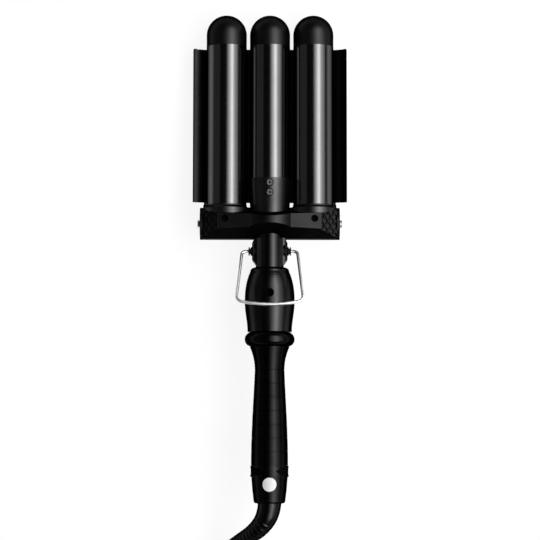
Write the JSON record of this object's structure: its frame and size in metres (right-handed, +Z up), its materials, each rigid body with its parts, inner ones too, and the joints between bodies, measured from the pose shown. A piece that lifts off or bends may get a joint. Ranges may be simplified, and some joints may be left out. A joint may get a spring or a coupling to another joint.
{
  "type": "hair waver",
  "caption": "Hair waver with barrels side by side, a wave-shaped spring clamp plate, thumb lever, fold-out wire stand, ringed grip, controls, swivel lead and plug.",
  "frame": {"origin": "centre of the tool's footprint on the table, with its lead left out", "axes": "+Y along the handle towards the barrel tips, +X across the barrels, +Z up from the table to the stand side"},
  "size_m": [0.1224, 0.5288, 0.0628],
  "materials": {
    "ceramic_black": "glossy black ceramic coating on aluminium",
    "matte_black_plastic": "matte heat-resistant plastic",
    "heater_metal": "plain extruded metal",
    "satin_black_plastic": "satin moulded plastic",
    "dark_steel": "blackened steel",
    "steel": "plain steel",
    "bronze": "plain sintered bronze",
    "grey_plastic": "matte dark grey plastic",
    "wire_chrome": "bright drawn wire",
    "soft_touch": "soft-touch skin",
    "foil": "silver foil, blank",
    "panel_gloss": "glossy black",
    "display_glass": "smoked clear plastic",
    "board_green": "lacquered circuit board",
    "lead_rubber": "matte flexible sheath",
    "plug_plastic": "moulded black plastic",
    "pin_brass": "nickelled brass"
  },
  "bodies": {
    "tool": {"barrel_left": "ceramic_black", "barrel_middle": "ceramic_black", "barrel_right": "ceramic_black", "tip_left": "matte_black_plastic", "tip_middle": "matte_black_plastic", "tip_right": "matte_black_plastic", "heater_left": "heater_metal", "heater_middle": "heater_metal", "heater_right": "heater_metal", "collar_left": "satin_black_plastic", "collar_middle": "satin_black_plastic", "collar_right": "satin_black_plastic", "collar_screws": "dark_steel", "head_front_shell": "satin_black_plastic", "head_rear_shell": "satin_black_plastic", "head_screws": "steel", "hinge_screws": "steel", "clamp_springs": "steel", "neck": "satin_black_plastic", "stand_bushes": "grey_plastic", "handle_front_shell": "satin_black_plastic", "handle_rear_shell": "satin_black_plastic", "handle_screw": "steel", "handle_bead": "satin_black_plastic", "grip": "soft_touch", "end_ring": "satin_black_plastic", "end_cap": "satin_black_plastic", "blank_sticker": "foil", "swivel_bearing": "grey_plastic", "control_panel": "panel_gloss", "display_window": "display_glass", "circuit_board": "board_green"},
    "clamp": {"clamp_plate": "ceramic_black", "clamp_arm": "satin_black_plastic", "thumb_lever": "satin_black_plastic", "clamp_screws": "steel", "hinge_bushes": "bronze"},
    "stand": {"stand_wire": "wire_chrome"},
    "power_button": {"power_button": "grey_plastic"},
    "plus_button": {"plus_button": "grey_plastic"},
    "minus_button": {"minus_button": "grey_plastic"},
    "cord": {"swivel_core": "grey_plastic", "strain_relief": "lead_rubber", "power_cord": "lead_rubber", "cord_coil": "lead_rubber", "cord_tail": "lead_rubber", "cord_tie": "lead_rubber", "plug_body": "plug_plastic", "plug_pins": "pin_brass"}
  },
  "joints": [
    {"name": "clamp_hinge", "type": "hinge", "parent": "tool", "child": "clamp", "pos_m": [0, 0.02668, 0.02235], "axis": [-1, 0, 0], "range_deg": [0, 12], "stiffness_Nm_per_rad": 1, "springref_deg": -20.05},
    {"name": "stand_hinge", "type": "hinge", "parent": "tool", "child": "stand", "pos_m": [0, 0.00476, 0.03229], "axis": [-1, 0, 0], "range_deg": [0, 88]},
    {"name": "power_button_press", "type": "slide", "parent": "tool", "child": "power_button", "axis": [0, 0.0872, 0.9962], "range_m": [0, 0.0008], "stiffness_N_per_m": 800, "springref_m": -0.001},
    {"name": "plus_button_press", "type": "slide", "parent": "tool", "child": "plus_button", "axis": [0, 0.0872, 0.9962], "range_m": [0, 0.0008], "stiffness_N_per_m": 800, "springref_m": -0.001},
    {"name": "minus_button_press", "type": "slide", "parent": "tool", "child": "minus_button", "axis": [0, 0.0872, 0.9962], "range_m": [0, 0.0008], "stiffness_N_per_m": 800, "springref_m": -0.001},
    {"name": "cord_swivel", "type": "hinge", "parent": "tool", "child": "cord", "pos_m": [0, -0.19149, 0.04946], "axis": [0, 0.9962, -0.0872], "continuous": true}
  ]
}
